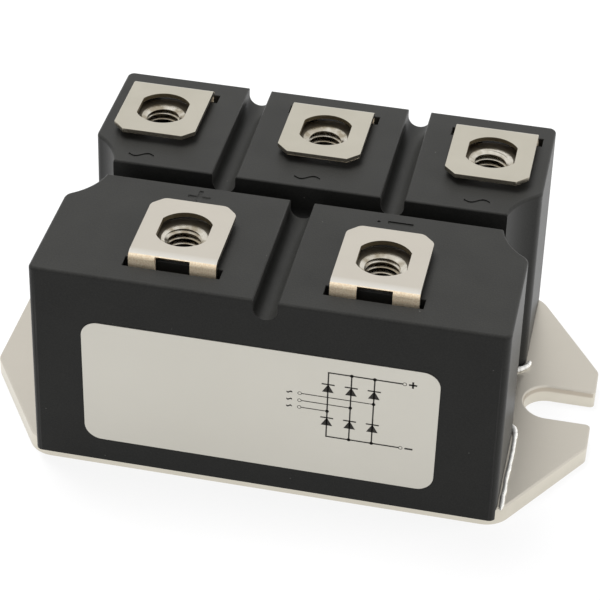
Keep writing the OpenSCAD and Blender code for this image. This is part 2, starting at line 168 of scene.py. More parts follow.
def box_piece(low, high):
    """A block between two corners."""
    low, high = Vector(low), Vector(high)
    bpy.ops.mesh.primitive_cube_add(size=1, location=(low + high) / 2)
    piece = bpy.context.object
    piece.scale = high - low
    return settle(piece)


def joined(pieces, name):
    """Several pieces made one."""
    only(*pieces)
    if len(pieces) > 1:
        bpy.ops.object.join()
    piece = bpy.context.object
    piece.name = name
    piece.data.name = name
    return piece


def pick_edges(piece, wanted):
    """Opens a piece for editing with just the edges selected that wanted(end, other_end) picks."""
    only(piece)
    bpy.ops.object.mode_set(mode="EDIT")
    bpy.context.tool_settings.mesh_select_mode = (False, True, False)
    bpy.ops.mesh.select_all(action="DESELECT")
    bpy.ops.object.mode_set(mode="OBJECT")
    for edge in piece.data.edges:
        a, b = (piece.data.vertices[v].co for v in edge.vertices)
        edge.select = wanted(a, b)
    bpy.ops.object.mode_set(mode="EDIT")


def extrude_up(piece, height):
    """Makes a solid of a flat piece."""
    open_whole(piece)
    bpy.ops.mesh.extrude_region_move(TRANSFORM_OT_translate={"value": (0, 0, height)})
    close_outward()
    return piece


def outline_block(points, low, high):
    """An upright block on a closed outline."""
    bpy.ops.mesh.primitive_circle_add(vertices=len(points), radius=1 * MM, fill_type="NGON")
    block = bpy.context.object
    for vertex, point in zip(block.data.vertices, points):
        vertex.co = (point[0], point[1], low)
    return settle(extrude_up(block, high - low))


def wave_strip(reach, rise, stroke, thick):
    """A flat strip bent into one wave and thickened along Z."""
    bpy.ops.mesh.primitive_grid_add(x_subdivisions=24, y_subdivisions=1, size=1)
    strip = bpy.context.object
    strip.scale = (2 * reach, stroke, 1)
    settle(strip)
    for vertex in strip.data.vertices:
        vertex.co.y += rise * math.sin(math.pi * vertex.co.x / reach)
    return extrude_up(strip, thick)


def arc(centre, radius, start, end, steps):
    """Points along an arc, both ends included."""
    (x, y), points = centre, []
    for k in range(steps + 1):
        turn = start + (end - start) * k / steps
        points.append(Vector((x + radius * math.cos(turn), y + radius * math.sin(turn))))
    return points


def end_outline(grow, steps=12):
    """Outline of the housing's right end, grown outwards, from the front long wall round to the
    back one: corner, end wall, rounded edge, screw-head recess, and the same again mirrored."""
    hx, hy = HOUSING_HI.x + grow, HOUSING_HI.y + grow
    corner_r, edge_r, recess_r = CORNER_R + grow, RECESS_EDGE_R + grow, RECESS_R - grow
    edge_x = hx - edge_r
    edge_y = math.sqrt((recess_r + edge_r) ** 2 - (SCREW_X - edge_x) ** 2)
    lean = math.atan2(edge_y, SCREW_X - edge_x)
    front = arc((hx - corner_r, corner_r - hy), corner_r, -math.pi / 2, 0, steps)
    front += arc((edge_x, -edge_y), edge_r, 0, lean, steps)
    front += arc((SCREW_X, 0), recess_r, lean - math.pi, -math.pi, 2 * steps)[1:]
    return front + [Vector((point.x, -point.y)) for point in front[-2::-1]]


def housing_block(grow, low, high):
    """An upright block on the whole outline of the housing."""
    end = end_outline(grow)
    return outline_block(end + [-point for point in end], low, high)


def carve(piece, tool, operation="DIFFERENCE"):
    """Cuts the tool out of the piece, or keeps what they share, and removes the tool."""
    modify(piece, "BOOLEAN", operation=operation, solver="EXACT", object=tool)
    bpy.data.objects.remove(tool)
    return piece


def cad_copy(node, name):
    """A copy of a CAD node's mesh as a piece of its own, merged and with its flat faces whole."""
    mesh = frame["nodes"][node].data.copy()
    mesh.materials.clear()
    piece = bpy.data.objects.new(name, mesh)
    bpy.context.scene.collection.objects.link(piece)
    open_whole(piece)
    bpy.ops.mesh.remove_doubles(threshold=MERGE)
    bpy.ops.mesh.dissolve_limited(angle_limit=math.radians(0.5))
    bpy.ops.object.mode_set(mode="OBJECT")
    return piece


def soften(piece, width, weight_of, segments=3):
    """Rounds edges. weight_of(middle, along, bend) gives each edge its share of the width."""
    mesh = piece.data
    normals_at = {}
    for polygon in mesh.polygons:
        for key in polygon.edge_keys:
            normals_at.setdefault(key, []).append(polygon.normal.copy())
    weights = mesh.attributes.new("bevel_weight_edge", "FLOAT", "EDGE")
    for edge in mesh.edges:
        normals = normals_at.get(edge.key, [])
        if len(normals) != 2:
            continue
        a, b = (mesh.vertices[v].co for v in edge.vertices)
        bend = normals[0].angle(normals[1], 0)
        weights.data[edge.index].value = weight_of((a + b) / 2, (b - a).normalized(), bend)
    modify(piece, "BEVEL", width=width, segments=segments, limit_method="WEIGHT",
           use_clamp_overlap=False, loop_slide=False)


def smooth(piece, degrees=35):
    """Smooth shading that keeps flat faces flat."""
    only(piece)
    bpy.ops.object.shade_smooth_by_angle(angle=math.radians(degrees))
    modify(piece, "WEIGHTED_NORMAL", keep_sharp=True)


def dress(piece, finish, *nodes, slot=None):
    """Gives a piece its finish and its body, and hides the CAD nodes it stands for."""
    piece.data.materials.clear()
    piece.data.materials.append(finish)
    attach(piece, "root")
    if nodes:
        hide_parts(*nodes)


def paint_faces(piece, finish, wanted):
    """Gives the faces that wanted(face) picks a finish of their own."""
    piece.data.materials.append(finish)
    for face in piece.data.polygons:
        if wanted(face):
            face.material_index = len(piece.data.materials) - 1


# ---------- shader maths ----------

class Value:
    """A number that varies over a surface. Python's operators on it add Math nodes."""

    def __init__(self, finish, link):
        self.finish = finish
        self.link = link

    def _math(self, operation, *numbers):
        inputs = dict(enumerate(numbers))
        return self.finish.node("ShaderNodeMath", {"operation": operation}, inputs)

    def __add__(self, other):
        return self._math("ADD", self, other)

    def __radd__(self, other):
        return self._math("ADD", other, self)

    def __sub__(self, other):
        return self._math("SUBTRACT", self, other)

    def __rsub__(self, other):
        return self._math("SUBTRACT", other, self)

    def __mul__(self, other):
        return self._math("MULTIPLY", self, other)

    def __gt__(self, other):
        return self._math("GREATER_THAN", self, other)

    def __lt__(self, other):
        return self._math("LESS_THAN", self, other)

    def ramp(self, low, high):
        """0 at low and below, 1 at high and above."""
        return self.finish.node("ShaderNodeMapRange", {"clamp": True},
                                {"Value": self, "From Min": low, "From Max": high}, out="Result")


class Finish:
    """A procedural material on the piece's own Object coordinates."""

    def __init__(self, name, colour, roughness, metallic=0.0, specular=0.5):
        self.material = bpy.data.materials.new(name)
        self.material.use_nodes = True
        self.tree = self.material.node_tree
        self.shader = self.tree.nodes["Principled BSDF"]
        self.set("Base Color", (*colour, 1))
        self.set("Roughness", roughness)
        self.set("Metallic", metallic)
        self.set("Specular IOR Level", specular)
        self.place = self.node("ShaderNodeTexCoord", {}, {}, out="Object")

    def node(self, kind, settings, inputs, out=0):
        """Adds a node: its settings first, then the values or links of its sockets."""
        node = self.tree.nodes.new(kind)
        for key, value in settings.items():
            setattr(node, key, value)
        for key, value in inputs.items():
            self.feed(node.inputs[key], value)
        return Value(self, node.outputs[out])

    def feed(self, socket, value):
        if isinstance(value, Value):
            self.tree.links.new(value.link, socket)
        else:
            socket.default_value = value

    def set(self, socket, value):
        self.feed(self.shader.inputs[socket], value)

    def noise(self, size, detail, stretch=(1, 1, 1)):
        """Noise in lumps about size across, and longer along an axis with a small stretch."""
        place = self.node("ShaderNodeMapping", {}, {"Vector": self.place, "Scale": stretch})
        return self.node("ShaderNodeTexNoise", {},
                         {"Vector": place, "Scale": 1 / size, "Detail": detail})

    def specks(self, spacing, radius, share):
        """1 inside round specks in this share of the cells, 0 elsewhere."""
        cell = {"Vector": self.place, "Scale": 1 / spacing}
        away = self.node("ShaderNodeTexVoronoi", {}, cell, out="Distance")
        tint = self.node("ShaderNodeTexVoronoi", {}, cell, out="Color")
        chosen = self.axis(tint, 0) > 1 - share
        return (away < radius / spacing) * chosen

    def axis(self, vector, index):
        return self.node("ShaderNodeSeparateXYZ", {}, {"Vector": vector}, out=index)

    def blend(self, factor, colour_a, colour_b):
        """colour_a where factor is 0 and colour_b where it is 1."""
        node = self.tree.nodes.new("ShaderNodeMix")
        node.data_type = "RGBA"
        self.feed(node.inputs[0], factor)
        for socket, colour in ((node.inputs[6], colour_a), (node.inputs[7], colour_b)):
            self.feed(socket, colour if isinstance(colour, Value) else (*colour, 1))
        return Value(self, node.outputs[2])

    def bump(self, height, distance, strength):
        inputs = {"Height": height, "Distance": distance, "Strength": strength}
        self.set("Normal", self.node("ShaderNodeBump", {}, inputs))


# ---------- finishes ----------

def moulded_finish():
    """Charcoal glass-filled plastic: fine matte grain, faint mottling and pale dust specks."""
    finish = Finish("charcoal_moulding", (0.020, 0.020, 0.019), 0.42, specular=0.15)
    mottle = finish.noise(6 * MM, 3)
    grain = finish.noise(0.25 * MM, 3)
    shade = finish.blend(mottle, (0.014, 0.014, 0.0132), (0.022, 0.022, 0.0205))
    shade = finish.blend(grain.ramp(0.35, 0.75) * 0.25, shade, (0.045, 0.044, 0.041))
    dust = finish.specks(2.2 * MM, 0.10 * MM, 0.22)
    finish.set("Base Color", finish.blend(dust * 0.25, shade, (0.30, 0.29, 0.27)))
    finish.set("Roughness", 0.34 + grain * 0.14)
    finish.bump(grain, 0.03 * MM, 0.5)
    return finish.material


def plate_finish(name, rolling):
    """Satin nickel over a rolled copper plate. rolling is the depth of its fine lines, or 0."""
    finish = Finish(name, (0.62, 0.58, 0.51), 0.34, metallic=1.0)
    cloud = finish.noise(9 * MM, 3)
    rolled = finish.noise(0.5 * MM, 2, stretch=(0.08, 1, 1))
    finish.set("Base Color", finish.blend(cloud, (0.58, 0.545, 0.475), (0.64, 0.60, 0.53)))
    finish.set("Roughness", 0.28 + cloud * 0.10 + rolled * 0.08)
    if rolling:
        finish.bump(rolled, rolling, 0.2)
    return finish.material


def plate_edge_highlight_finish():
    """The plate's blanked edges: a painted highlight makes them brighter than its face, and they
    are brown high on the slot's walls.
    """
    finish = Finish("blanked_nickel_edge", (0.66, 0.62, 0.53), 0.3, metallic=1.0)
    cloud = finish.noise(4 * MM, 3)
    streak = finish.noise(0.3 * MM, 2, stretch=(0.1, 0.1, 1))
    along, side, height = (finish.axis(finish.place, number) for number in range(3))
    band = height.ramp(PLATE_Z - 1.2 * MM, PLATE_Z - 0.9 * MM)
    in_slot = ((side < SLOT_HALF) * (side > -SLOT_HALF)
               * (along > 0) * (along < PLATE_HI.x - PLATE_SOFT))
    # painted highlight: the edges' colours are lighter than the plate's face
    shade = finish.blend(cloud, (0.63, 0.59, 0.50), (0.70, 0.66, 0.57))
    finish.set("Base Color", finish.blend(in_slot * band * 0.7, shade, (0.40, 0.34, 0.27)))
    finish.set("Roughness", 0.26 + streak * 0.14)
    return finish.material


def strap_finish():
    """Satin nickel on copper sheet: darker on the AC straps, with a painted highlight along the DC
    straps' bend, and dull and coppery on the stretched limbs."""
    finish = Finish("satin_nickel_strap", (0.60, 0.57, 0.50), 0.27, metallic=1.0)
    cloud = finish.noise(5 * MM, 3)
    fine = finish.noise(0.22 * MM, 2)
    side, height = finish.axis(finish.place, 1), finish.axis(finish.place, 2)
    limb = 1 - height.ramp(TOP_Z + LIMB_RISE, TOP_Z + LIMB_RISE + 0.1 * MM)
    # mask of the painted highlight along a DC strap's bend
    bend = (0 - side).ramp(BEND_HIGHLIGHT_START, BEND_HIGHLIGHT_FULL)
    shade = finish.blend(side.ramp(-8 * MM, 8 * MM), (0.61, 0.57, 0.50), (0.53, 0.50, 0.42))
    # painted highlight: the bend's colour is lighter
    shade = finish.blend(bend, shade, (0.84, 0.83, 0.79))
    shade = finish.blend(cloud.ramp(0.3, 0.8) * 0.3, shade, (0.68, 0.64, 0.56))
    coppery = finish.blend(fine.ramp(0.35, 0.65), (0.88, 0.71, 0.50), (1.0, 0.88, 0.68))
    finish.set("Base Color", finish.blend(limb, shade, coppery))
    finish.set("Metallic", 1 - limb * 0.5)
    finish.set("Roughness", 0.26 + cloud * 0.08 + limb * 0.4)
    return finish.material


def sheared_finish():
    """The sheared edges of the strap sheet."""
    finish = Finish("sheared_edge", (0.38, 0.34, 0.28), 0.28, metallic=1.0)
    fine = finish.noise(0.2 * MM, 2)
    finish.set("Base Color", finish.blend(fine, (0.30, 0.27, 0.21), (0.46, 0.42, 0.35)))
    finish.set("Roughness", 0.24 + fine * 0.1)
    return finish.material


def shaded_hole_wall_finish():
    """The wall of the screw hole in a strap: bare, tarnished copper, darkened further with painted
    shade from the hole.
    """
    finish = Finish("tarnished_hole_wall", (0.10, 0.08, 0.045), 0.45, metallic=0.6)
    fine = finish.noise(0.2 * MM, 2)
    finish.set("Base Color", finish.blend(fine, (0.05, 0.04, 0.02), (0.16, 0.125, 0.075)))
    return finish.material


def nut_finish():
    """Patchy nickel-plated steel, rougher and darkened with painted shade on the end face, and
    darkened with painted shade towards the bottom, down in the thread.
    """
    finish = Finish("bright_nut_steel", (0.62, 0.58, 0.50), 0.18, metallic=1.0)
    fine = finish.noise(0.4 * MM, 3)
    height = finish.axis(finish.place, 2)
    # painted shade: darker towards the bottom of the nut, down in the thread
    depth_shade = 1 - height.ramp(NUTS_LO.z, NUTS_HI.z)
    # mask of the painted shade on the top end face, which lies in the strap's shadow
    face = height.ramp(NUTS_HI.z - 0.04 * MM, NUTS_HI.z - 0.01 * MM)
    patches = finish.noise(1.6 * MM, 2).ramp(0.38, 0.62)
    shade = finish.blend(fine, (0.60, 0.56, 0.48), (0.80, 0.77, 0.69))
    shade = finish.blend(patches * 0.75, shade, (0.27, 0.22, 0.14))
    shade = finish.blend(depth_shade * 0.7, shade, (0.26, 0.20, 0.12))
    # darkens the end face with painted shade
    finish.set("Base Color", finish.blend(face * 0.9, shade, (0.10, 0.085, 0.06)))
    finish.set("Roughness", 0.16 + fine * 0.12 + face * 0.2)
    return finish.material


def glue_finish():
    """White silicone, slightly lumpy."""
    finish = Finish("white_silicone", (0.86, 0.85, 0.81), 0.45, specular=0.4)
    lumps = finish.noise(0.8 * MM, 3)
    finish.set("Base Color", finish.blend(lumps, (0.80, 0.79, 0.75), (0.90, 0.89, 0.86)))
    finish.bump(lumps, 0.1 * MM, 0.6)
    return finish.material


def label_finish():
    """Satin silvery print film."""
    finish = Finish("silvery_film", (0.60, 0.58, 0.52), 0.42, metallic=0.85)
    cloud = finish.noise(14 * MM, 2)
    fine = finish.noise(0.12 * MM, 2)
    finish.set("Base Color", finish.blend(cloud, (0.585, 0.565, 0.505), (0.62, 0.60, 0.54)))
    finish.set("Roughness", 0.40 + fine * 0.08)
    finish.bump(fine, 0.004 * MM, 0.4)
    return finish.material


def ink_finish():
    """Dark print ink."""
    finish = Finish("print_ink", (0.02, 0.018, 0.015), 0.55, specular=0.3)
    wear = finish.noise(0.3 * MM, 2)
    finish.set("Base Color", finish.blend(wear, (0.012, 0.011, 0.009), (0.035, 0.031, 0.026)))
    return finish.material


def plain_metal(name, colour, rough):
    """Inner metal with a little colour and gloss variation."""
    finish = Finish(name, colour, rough, metallic=1.0)
    cloud = finish.noise(3 * MM, 3)
    finish.set("Base Color", finish.blend(cloud, tuple(c * 0.85 for c in colour), colour))
    finish.set("Roughness", rough + cloud * 0.15)
    return finish.material


def plain_solid(name, light, dark, rough, size):
    """Inner solid with a mottled colour."""
    finish = Finish(name, light, rough)
    cloud = finish.noise(size, 3)
    finish.set("Base Color", finish.blend(cloud, dark, light))
    finish.bump(cloud, 0.01 * MM, 0.3)
    return finish.material


def gel_finish():
    """Clear, faintly cloudy silicone gel."""
    finish = Finish("clear_gel", (0.80, 0.83, 0.85), 0.08)
    cloud = finish.noise(4 * MM, 2)
    finish.set("Base Color", finish.blend(cloud, (0.74, 0.78, 0.80), (0.86, 0.88, 0.89)))
    finish.set("Alpha", 0.30 + cloud * 0.15)
    return finish.material


# ---------- housing ----------

def cross_mark(x, y):
    """Cutters for a plus sign."""
    reach = 1.75 * MM
    low, high = TOP_Z - MARK_DEPTH, TOP_Z + MARK_OVER
    bar = box_piece((x - reach, y - MARK_HALF, low), (x + reach, y + MARK_HALF, high))
    stem = box_piece((x - MARK_HALF, y - reach, low), (x + MARK_HALF, y + reach, high))
    return carve(bar, stem, "UNION")


def dash_mark(x, y):
    """Cutter for a minus sign."""
    reach = 1.9 * MM
    return box_piece((x - reach, y - MARK_HALF, TOP_Z - MARK_DEPTH),
                     (x + reach, y + MARK_HALF, TOP_Z + MARK_OVER))


def wave_mark(x, y):
    """Cutter for the AC sign."""
    reach, rise = 2 * MM, 0.5 * MM
    strip = wave_strip(reach, rise, WAVE_STROKE, MARK_OVER)
    strip.location = (x, y, TOP_Z - MARK_DEPTH)
    return settle(strip)


def dot_mark(x, y):
    """Cutter for the small dot beside the minus sign."""
    bpy.ops.mesh.primitive_cylinder_add(
        vertices=16, radius=0.25 * MM, depth=MARK_OVER,
        location=(x, y, TOP_Z + MARK_OVER / 2 - MARK_DEPTH))
    return settle(bpy.context.object)


def polarity_marks():
    """Cutters for every mark moulded into the top, beside the free end of its strap."""
    dc_y, ac_y = -4.7 * MM, 4.35 * MM
    plus_x = MOUNTS["plus_thread"]["pos_m"][0]
    minus_x = MOUNTS["minus_thread"]["pos_m"][0]
    tools = [cross_mark(plus_x - 0.5 * MM, dc_y),
             dash_mark(minus_x + 0.6 * MM, dc_y + 0.4 * MM),
             dot_mark(minus_x - 2.65 * MM, dc_y + 0.3 * MM)]
    for mount in AC_TERMINALS.values():
        tools.append(wave_mark(MOUNTS[mount]["pos_m"][0] - 0.6 * MM, ac_y))
    return joined(tools, "marks")


def rim_block():
    """The space that the housing fills, with its top rim rounded."""
    top = TOP_Z - HAIR
    block = housing_block(-HAIR, -1 * MM, top)
    pick_edges(block, lambda a, b: min(a.z, b.z) > top - 0.1 * HAIR)
    bpy.ops.mesh.bevel(offset=RIM_SOFT, segments=6, affect="EDGES",
                       clamp_overlap=False, loop_slide=False)
    bpy.ops.object.mode_set(mode="OBJECT")
    return block


def groove_weight(middle, along, bend):
    """Share of the rounding for each upper edge of channel, grooves, pockets and openings."""
    to_rim_x, to_rim_y = HOUSING_HI.x - abs(middle.x), HOUSING_HI.y - abs(middle.y)
    to_screw = math.hypot(abs(middle.x) - SCREW_X, middle.y)
    in_recess = to_screw < RECESS_R + RECESS_EDGE_R + 0.3 * MM
    below_top = middle.z < TOP_Z - 0.01 * MM
    if bend < math.radians(40) or below_top or in_recess or min(to_rim_x, to_rim_y) < 0.05 * MM:
        return 0
    for mount in TERMINALS.values():
        x, y, _ = MOUNTS[mount]["pos_m"]
        if abs(middle.x - x) < POCKET_REACH_X and abs(middle.y - y) < POCKET_REACH_Y:
            return POCKET_SHARE
    return 1


def build_housing(finish):
    """The moulding, with soft edges, its marks, and end walls that lean out towards the foot."""
    housing = cad_copy("housing", "moulded_housing")
    soften(housing, GROOVE_SOFT, groove_weight)
    carve(housing, rim_block(), "INTERSECT")
    carve(housing, polarity_marks())
    for vertex in housing.data.vertices:
        vertex.co.x *= 1 + DRAFT * (1 - vertex.co.z / TOP_Z)
    smooth(housing)
    dress(housing, finish, "housing", slot="housing")


# ---------- plate and terminals ----------

def plate_weight(middle, along, bend):
    """1 at the plate's upper edges."""
    return 1 if middle.z > PLATE_Z / 2 and bend > SHARP and abs(along.z) < 0.9 else 0


def build_plate(finish, edge_highlight_finish, under_finish):
    plate = cad_copy("base_plate", "nickel_base_plate")
    soften(plate, PLATE_SOFT, plate_weight)
    smooth(plate)
    dress(plate, finish, "base_plate", slot="nickel_plate")
    # the plate's upright faces get the painted highlight
    paint_faces(plate, edge_highlight_finish, lambda face: abs(face.normal.z) < 0.1)
    paint_faces(plate, under_finish, lambda face: face.normal.z < -0.9)


def tip_weight(middle, along, bend):
    """1 at the upright corners of a strap's free end."""
    at_tip = middle.z > TOP_Z and abs(middle.y) < TIP_REACH
    return 1 if at_tip and abs(along.z) > 0.9 and bend > SHARP else 0


def sheet_weight(middle, along, bend):
    """1 at every edge of a strap."""
    return 1 if bend > SHARP else 0


def raise_window(strap, mount):
    """Carries the window in a strap's limb up into the bend."""
    x, y, _ = MOUNTS[mount]["pos_m"]
    side = math.copysign(1, y)
    near, far = y + side * WINDOW_NEAR, y + side * WINDOW_FAR
    carve(strap, box_piece((x - WINDOW_HALF, min(near, far), TOP_Z),
                           (x + WINDOW_HALF, max(near, far), TOP_Z + WINDOW_RISE)))


def thin_sheet(strap, top):
    """Thins a strap's sheet on top of the housing, and draws its limb in a little."""
    bend_z = top - BEND_DROP
    for vertex in strap.data.vertices:
        if vertex.co.z > bend_z:
            vertex.co.z = bend_z + SHEET_SHARE * (vertex.co.z - bend_z)
        beyond = abs(vertex.co.y) - LIMB_START
        if beyond > 0:
            vertex.co.y -= math.copysign(LIMB_DRAW * beyond, vertex.co.y)


def build_straps(finish, sheared, shaded_hole_wall):
    for node, mount in TERMINALS.items():
        x, y, _ = MOUNTS[mount]["pos_m"]
        strap = cad_copy(node, node + "_strap")
        thin_sheet(strap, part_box(node)[1].z)
        raise_window(strap, mount)
        if node in DC_TERMINALS:
            soften(strap, TIP_SOFT, tip_weight, 4)
        soften(strap, SHEET_SOFT, sheet_weight)
        smooth(strap)
        dress(strap, finish, node, slot="terminal_sheet")

        def on_edge(face):
            upright = abs(face.normal.z) < 0.3 and face.center.z > TOP_Z
            return upright and abs(face.center.y) < abs(y) + EDGE_REACH

        def in_hole(face):
            away = math.hypot(face.center.x - x, face.center.y - y)
            return on_edge(face) and away < HOLE_REACH

        paint_faces(strap, sheared, on_edge)
        # the hole's wall gets the tarnish and the painted shade
        paint_faces(strap, shaded_hole_wall, in_hole)


def thread_cutter(low, high):
    """A V-shaped ridge wound up the bore, which cuts the nut's thread."""
    half = 0.46 * THREAD_PITCH
    start = low - 0.8 * THREAD_PITCH
    section = ((THREAD_ROOT_R, -half), (THREAD_MAJOR_R, 0), (THREAD_ROOT_R, half))
    bpy.ops.mesh.primitive_circle_add(vertices=3, radius=1 * MM, fill_type="NOTHING")
    ridge = bpy.context.object
    for vertex, (r, z) in zip(ridge.data.vertices, section):
        vertex.co = (r, 0, start + z)
    modify(ridge, "SCREW", axis="Z", steps=40, render_steps=40, screw_offset=THREAD_PITCH,
           iterations=math.ceil((high - low) / THREAD_PITCH) + 2, use_merge_vertices=False)
    open_whole(ridge)
    bpy.ops.mesh.remove_doubles(threshold=MERGE)
    bpy.ops.mesh.select_all(action="DESELECT")
    bpy.ops.mesh.select_non_manifold(extend=False, use_wire=False, use_multi_face=False,
                                     use_non_contiguous=False, use_verts=False)
    bpy.ops.mesh.fill()
    close_outward()
    return ridge


def hex_nut(low, high):
    """One M6 nut about the Z axis: a turned ring cut to a hexagon, bored and threaded."""
    flat_r = NUT_FLATS / 2
    corner_r = NUT_FLATS / math.sqrt(3)
    rise = (corner_r - flat_r) * math.tan(math.radians(30))
    section = ((THREAD_MINOR_R, low + SINK_H), (SINK_R, low), (flat_r, low),
               (corner_r, low + rise), (corner_r, high - rise),
               (flat_r, high), (SINK_R, high), (THREAD_MINOR_R, high - SINK_H))
    bpy.ops.mesh.primitive_circle_add(vertices=8, radius=1 * MM, fill_type="NOTHING")
    ring = bpy.context.object
    for vertex, (r, z) in zip(ring.data.vertices, section):
        vertex.co = (r, 0, z)
    open_whole(ring)
    bpy.ops.mesh.spin(steps=72, angle=math.tau, center=(0, 0, 0), axis=(0, 0, 1))
    bpy.ops.mesh.select_all(action="SELECT")
    bpy.ops.mesh.remove_doubles(threshold=MERGE)
    close_outward()
    bpy.ops.mesh.primitive_cylinder_add(
        vertices=6, radius=corner_r, depth=2 * (high - low),
        location=(0, 0, (low + high) / 2), rotation=(0, 0, math.radians(30)))
    carve(ring, settle(bpy.context.object), "INTERSECT")
    return carve(ring, thread_cutter(low, high))


def build_nuts(finish):
    first = hex_nut(NUTS_LO.z, NUTS_HI.z)
    nuts = []
    for number, mount in enumerate(TERMINALS.values()):
        nut = bpy.data.objects.new("nut", first.data.copy())
        bpy.context.scene.collection.objects.link(nut)
        x, y, _ = MOUNTS[mount]["pos_m"]
        turn = Matrix.Rotation(math.radians(60 * number), 4, "Z")
        nut.matrix_world = Matrix.Translation((x, y, 0)) @ turn
        nuts.append(settle(nut))
    bpy.data.objects.remove(first)
    nuts = joined(nuts, "threaded_nuts")
    smooth(nuts, 30)
    dress(nuts, finish, "terminal_nuts", slot="nut_steel")


# ---------- glue bead ----------

def bead_line():
    """Middle of the right-hand bead on the plate, at an even distance from the end wall."""
    line = [point for point in end_outline(BEAD_OUT, 16)
            if BEAD_FRONT_GAP - PLATE_HI.y < point.y < PLATE_HI.y - BEAD_BACK_GAP]
    fine = []
    for a, b in zip(line, line[1:]):
        count = max(1, round((b - a).length / BEAD_STEP))
        fine += [a.lerp(b, k / count) for k in range(count)]
    return fine + [line[-1]]


def bead_ridge(end):
    """An uneven, wandering ridge of glue along one end of the housing, with thinner ends."""
    line = bead_line()
    sides, wander, swell = 10, 0.0, 1.0
    vertices, faces = [], []
    for k, point in enumerate(line):
        before, after = line[max(k - 1, 0)], line[min(k + 1, len(line) - 1)]
        along = (after - before).normalized()
        out = Vector((along.y, -along.x))
        wander = 0.85 * wander + random.uniform(-0.05, 0.05)
        swell = 0.8 * swell + 0.2 * random.uniform(0.6, 1.4)
        in_recess = math.hypot(point.x - SCREW_X, point.y) < RECESS_R + 1 * MM
        to_end = min(k, len(line) - 1 - k) / 3
        radius = (BEAD_RECESS_R if in_recess else BEAD_R) * swell * min(1, 0.4 + to_end)
        centre = point + out * wander * MM
        for side in range(sides):
            turn = math.tau * side / sides
            spot = centre + out * (radius * math.cos(turn))
            z = PLATE_Z + 0.45 * radius + 1.15 * radius * math.sin(turn)
            vertices.append((end * spot.x, end * spot.y, max(z, PLATE_Z + 0.002 * MM)))
    for k in range(len(line) - 1):
        for side in range(sides):
            a, b = k * sides + side, k * sides + (side + 1) % sides
            faces.append((a, b, b + sides, a + sides))
    faces += [tuple(range(sides)), tuple(range(len(vertices) - sides, len(vertices)))]
    mesh = bpy.data.meshes.new("ridge")
    mesh.from_pydata(vertices, [], faces)
    ridge = bpy.data.objects.new("ridge", mesh)
    bpy.context.scene.collection.objects.link(ridge)
    open_whole(ridge)
    close_outward()
    return ridge


def build_bead(finish):
    """The glue line under the walls and, off each end wall, the ridge that squeezed out of it."""
    random.seed(11)
    under = cad_copy("glue_bead", "glue_line")
    carve(under, housing_block(-LINE_SET_BACK, 0, TOP_Z), "INTERSECT")
    glue = joined([under, bead_ridge(1), bead_ridge(-1)], "squeezed_glue")
    smooth(glue, 60)
    dress(glue, finish, "glue_bead", slot="glue")


# ---------- label and its print ----------

class Print:
    """Thin shapes of ink on the label, placed by their x and z."""

    def __init__(self):
        self.face = LABEL_LO.y
        self.thick = 0.03 * MM
        self.back = self.face + self.thick
        self.shapes = []

    def line(self, start, end, width=0.21 * MM):
        (x0, z0), (x1, z1) = start, end
        half = width / 2
        low = (min(x0, x1) - half, self.face, min(z0, z1) - half)
        high = (max(x0, x1) + half, self.back, max(z0, z1) + half)
        self.shapes.append(box_piece(low, high))

    def disc(self, x, z, radius, sides=16):
        bpy.ops.mesh.primitive_cylinder_add(
            vertices=sides, radius=radius, depth=self.thick,
            location=(x, self.face + self.thick / 2, z), rotation=(math.pi / 2, 0, 0))
        self.shapes.append(settle(bpy.context.object))

    def ring(self, x, z):
        radius, stroke = 0.27 * MM, 0.085 * MM
        bpy.ops.mesh.primitive_torus_add(
            major_radius=radius, minor_radius=stroke, major_segments=20, minor_segments=8,
            location=(x, self.face + stroke, z), rotation=(math.pi / 2, 0, 0))
        self.shapes.append(settle(bpy.context.object))

    def wave(self, x, z):
        reach, rise, stroke = 0.42 * MM, 0.11 * MM, 0.24 * MM
        strip = wave_strip(reach, rise, stroke, self.thick)
        strip.rotation_euler = (math.pi / 2, 0, 0)
        strip.location = (x, self.back, z)
        self.shapes.append(settle(strip))


def circuit_print():
    """The bridge circuit: six diodes in three columns, three inputs and the two DC outputs."""
    art = Print()
    columns = [9.5 * MM, 12.88 * MM, 16.24 * MM]
    inputs = [17.9 * MM, 19.17 * MM, 20.5 * MM]
    bottom_bus, top_bus = 13.12 * MM, 25.1 * MM
    diodes = [22.06 * MM, 15.82 * MM]
    wave_x, input_x, output_x = 3.86 * MM, 5.38 * MM, 20.2 * MM
    sign_x, sign_half = output_x + 1.55 * MM, 0.45 * MM
    bar_half, bar_rise, diode_drop = 0.85 * MM, 0.85 * MM, 0.1 * MM
    dot_r, diode_r, fine, bold = 0.28 * MM, 0.98 * MM, 0.13 * MM, 0.28 * MM
    lead_gap, ring_gap = 0.3 * MM, 0.35 * MM
    for x, z in zip(columns, inputs):
        art.line((x, bottom_bus), (x, top_bus))
        art.line((input_x + lead_gap, z), (x, z), fine)
        art.disc(x, z, dot_r)
        art.ring(input_x, z)
        art.wave(wave_x, z)
        for middle in diodes:
            art.line((x - bar_half, middle + bar_rise), (x + bar_half, middle + bar_rise))
            art.disc(x, middle - diode_drop, diode_r, sides=3)
    for x in columns[1:]:
        art.disc(x, top_bus, dot_r)
        art.disc(x, bottom_bus, dot_r)
    for z in (top_bus, bottom_bus):
        art.line((columns[0], z), (output_x, z))
        art.ring(output_x + ring_gap, z)
        art.line((sign_x - sign_half, z), (sign_x + sign_half, z), bold)
    art.line((sign_x, top_bus - sign_half), (sign_x, top_bus + sign_half), bold)
    return joined(art.shapes, "circuit_print")


def build_label(film, ink):
    """The film, set back by a hair so that the ink stands on it, and the print."""
    label = cad_copy("label", "rating_label")
    for vertex in label.data.vertices:
        if vertex.co.y < LABEL_LO.y + 0.05 * MM:
            vertex.co.y = LABEL_LO.y + FILM_SET_BACK
    smooth(label)
    dress(label, film, "label", slot="label_film")
    dress(circuit_print(), ink, slot="label_film")


# ---------- camera, light and floor ----------

